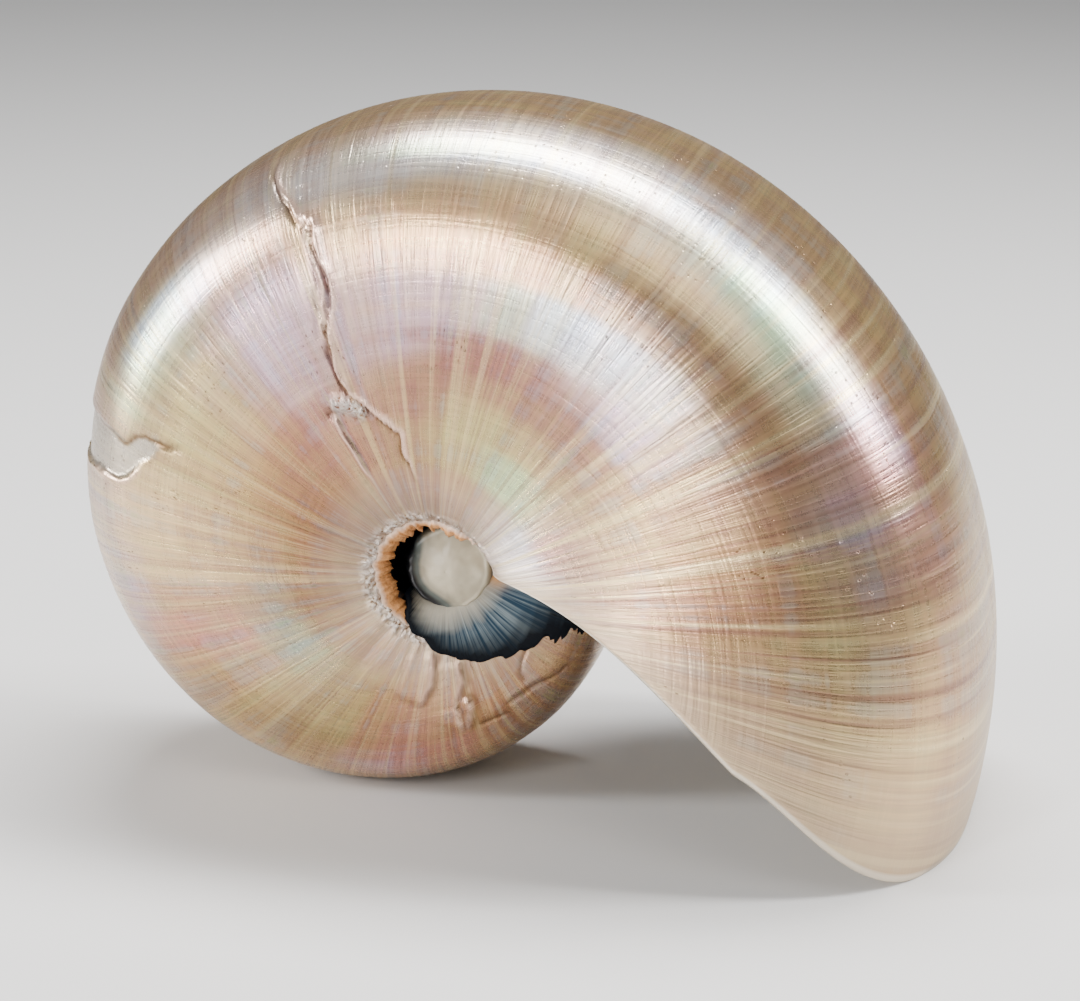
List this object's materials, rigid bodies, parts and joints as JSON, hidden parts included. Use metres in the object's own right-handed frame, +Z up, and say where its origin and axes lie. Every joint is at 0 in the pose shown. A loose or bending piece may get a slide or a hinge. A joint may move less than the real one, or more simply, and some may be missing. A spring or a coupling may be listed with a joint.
{
  "type": "nautilus shell",
  "caption": "Coiled pearl nautilus shell with polished nacre flanks, an open body chamber and a callus-plugged umbilicus, standing on its coil and lip.",
  "frame": {"origin": "bottom centre of the bounding box, at the level of the coil's underside and the lip's lobes", "axes": "+Z up as the shell stands; +X from the back of the coil toward the mouth; the coiling axis runs along Y"},
  "size_m": [0.1652, 0.0978, 0.1253],
  "materials": {
    "nacre": "polished nacre, iridescent"
  },
  "bodies": {
    "root": {"shell": "nacre"}
  },
  "joints": []
}
